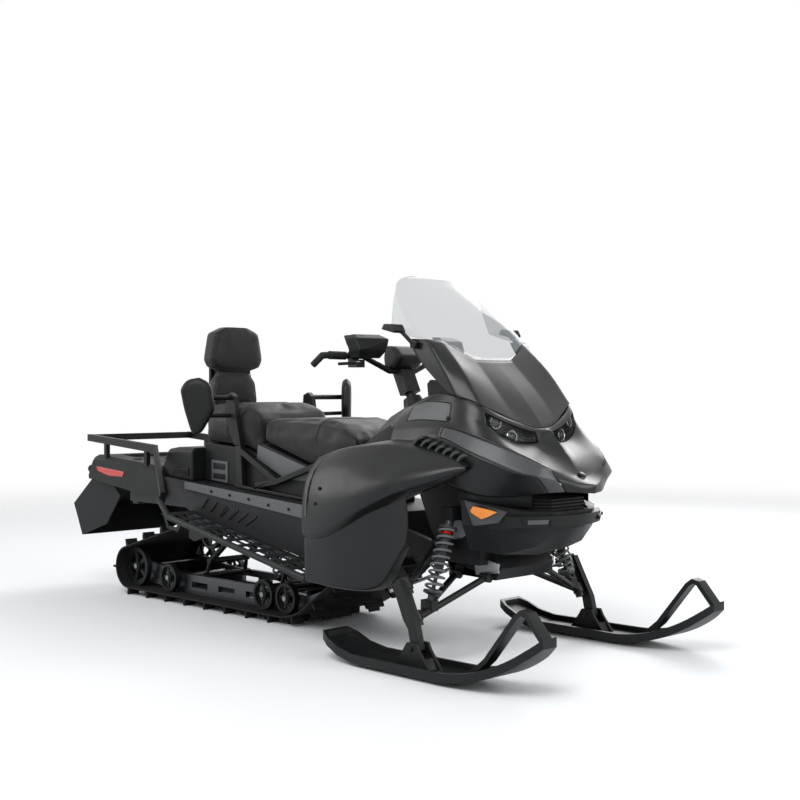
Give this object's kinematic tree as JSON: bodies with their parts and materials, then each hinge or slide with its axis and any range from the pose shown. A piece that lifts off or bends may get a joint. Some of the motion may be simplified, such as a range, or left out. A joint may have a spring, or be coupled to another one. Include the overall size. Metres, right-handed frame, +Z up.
{
  "type": "snowmobile",
  "caption": "Two-seat touring snowmobile with steerable skis, a rubber track under a sheet tunnel, cargo rack, backrest and tall screen.",
  "frame": {"origin": "on the ground, in the middle of the length and the width", "axes": "+X to the nose, +Y to the rider's left, +Z up"},
  "size_m": [3.2, 1.172, 1.4213],
  "materials": {
    "black_shell": "satin",
    "black_plastic": "matte",
    "grey_shell": "satin",
    "light_shell": "satin",
    "seat_vinyl": "grained",
    "smoke_screen": "polished",
    "clear_lens": "polished",
    "track_rubber": "matte",
    "soft_rubber": "matte",
    "cast_alloy": "as cast",
    "rail_alloy": "satin",
    "black_metal": "satin",
    "bare_steel": "brushed",
    "wheel_plastic": "satin",
    "red_lens": "polished",
    "amber_lens": "polished"
  },
  "bodies": {
    "chassis": {"track": "track_rubber", "idler_wheels": "wheel_plastic", "wheel_axles": "bare_steel", "slide_rails": "rail_alloy", "suspension_arms": "black_metal", "rear_shocks": "bare_steel", "tunnel": "black_metal", "tunnel_strips": "light_shell", "running_boards": "black_metal", "tail_section": "black_plastic", "tail_lights": "red_lens", "snow_flap": "soft_rubber", "rear_rack": "black_metal", "hitch": "black_metal", "seat_base": "black_plastic", "rear_box": "black_plastic", "driver_seat": "seat_vinyl", "passenger_seat": "seat_vinyl", "back_pads": "seat_vinyl", "backrest_shell": "black_plastic", "seat_braces": "black_metal", "handholds": "black_plastic", "deflectors": "black_plastic", "bulkhead": "cast_alloy", "engine": "black_metal", "lower_arms": "black_metal", "upper_arms": "black_metal", "front_shocks": "black_metal", "console": "black_plastic", "headlights": "clear_lens", "side_stripes": "grey_shell", "dash_covers": "light_shell", "hood": "black_shell", "windshield_cowl": "black_shell", "windshield": "smoke_screen", "mirrors": "black_plastic", "gauge": "black_plastic", "side_panels": "black_shell", "louvres": "black_plastic", "reflectors": "amber_lens", "belly_pan": "black_plastic", "front_bumper": "black_plastic", "grille": "black_plastic"},
    "steering": {"steering_column": "black_metal", "grips": "soft_rubber", "hand_guards": "black_plastic", "levers": "black_metal", "bar_pad": "black_plastic"},
    "ski_left_body": {"ski_left": "black_plastic"},
    "ski_right_body": {"ski_right": "black_plastic"},
    "spindle_left_body": {"spindle_left": "black_metal"},
    "spindle_right_body": {"spindle_right": "black_metal"},
    "tie_rod_left_body": {"tie_rod_left": "bare_steel"},
    "tie_rod_right_body": {"tie_rod_right": "bare_steel"}
  },
  "joints": [
    {"name": "steering", "type": "hinge", "parent": "chassis", "child": "steering", "pos_m": [0.463, 0, 1.037], "axis": [-0.4226, 0, 0.9063], "range_deg": [-30, 30]},
    {"name": "ski_steer_left", "type": "hinge", "parent": "chassis", "child": "spindle_left_body", "pos_m": [0.985, 0.455, 0.18], "axis": [-0.4226, 0, 0.9063], "range_deg": [-30, 30]},
    {"name": "tie_rod_left", "type": "hinge", "parent": "spindle_left_body", "child": "tie_rod_left_body", "pos_m": [0.87843, 0.47, 0.26657], "axis": [-0.4226, 0, 0.9063], "range_deg": [-30, 30]},
    {"name": "ski_pitch_left", "type": "hinge", "parent": "spindle_left_body", "child": "ski_left_body", "pos_m": [1.022, 0.49, 0.088], "axis": [0, 1, 0], "range_deg": [-10, 12], "stiffness_Nm_per_rad": 120},
    {"name": "ski_steer_right", "type": "hinge", "parent": "chassis", "child": "spindle_right_body", "pos_m": [0.985, -0.455, 0.18], "axis": [-0.4226, 0, 0.9063], "range_deg": [-30, 30]},
    {"name": "tie_rod_right", "type": "hinge", "parent": "spindle_right_body", "child": "tie_rod_right_body", "pos_m": [0.87843, -0.47, 0.26657], "axis": [-0.4226, 0, 0.9063], "range_deg": [-30, 30]},
    {"name": "ski_pitch_right", "type": "hinge", "parent": "spindle_right_body", "child": "ski_right_body", "pos_m": [1.022, -0.49, 0.088], "axis": [0, 1, 0], "range_deg": [-10, 12], "stiffness_Nm_per_rad": 120}
  ],
  "couplings": [
    {"joint": "ski_steer_left", "follows": "steering", "ratio": 1},
    {"joint": "tie_rod_left", "follows": "steering", "ratio": -1},
    {"joint": "ski_steer_right", "follows": "steering", "ratio": 1},
    {"joint": "tie_rod_right", "follows": "steering", "ratio": -1}
  ]
}
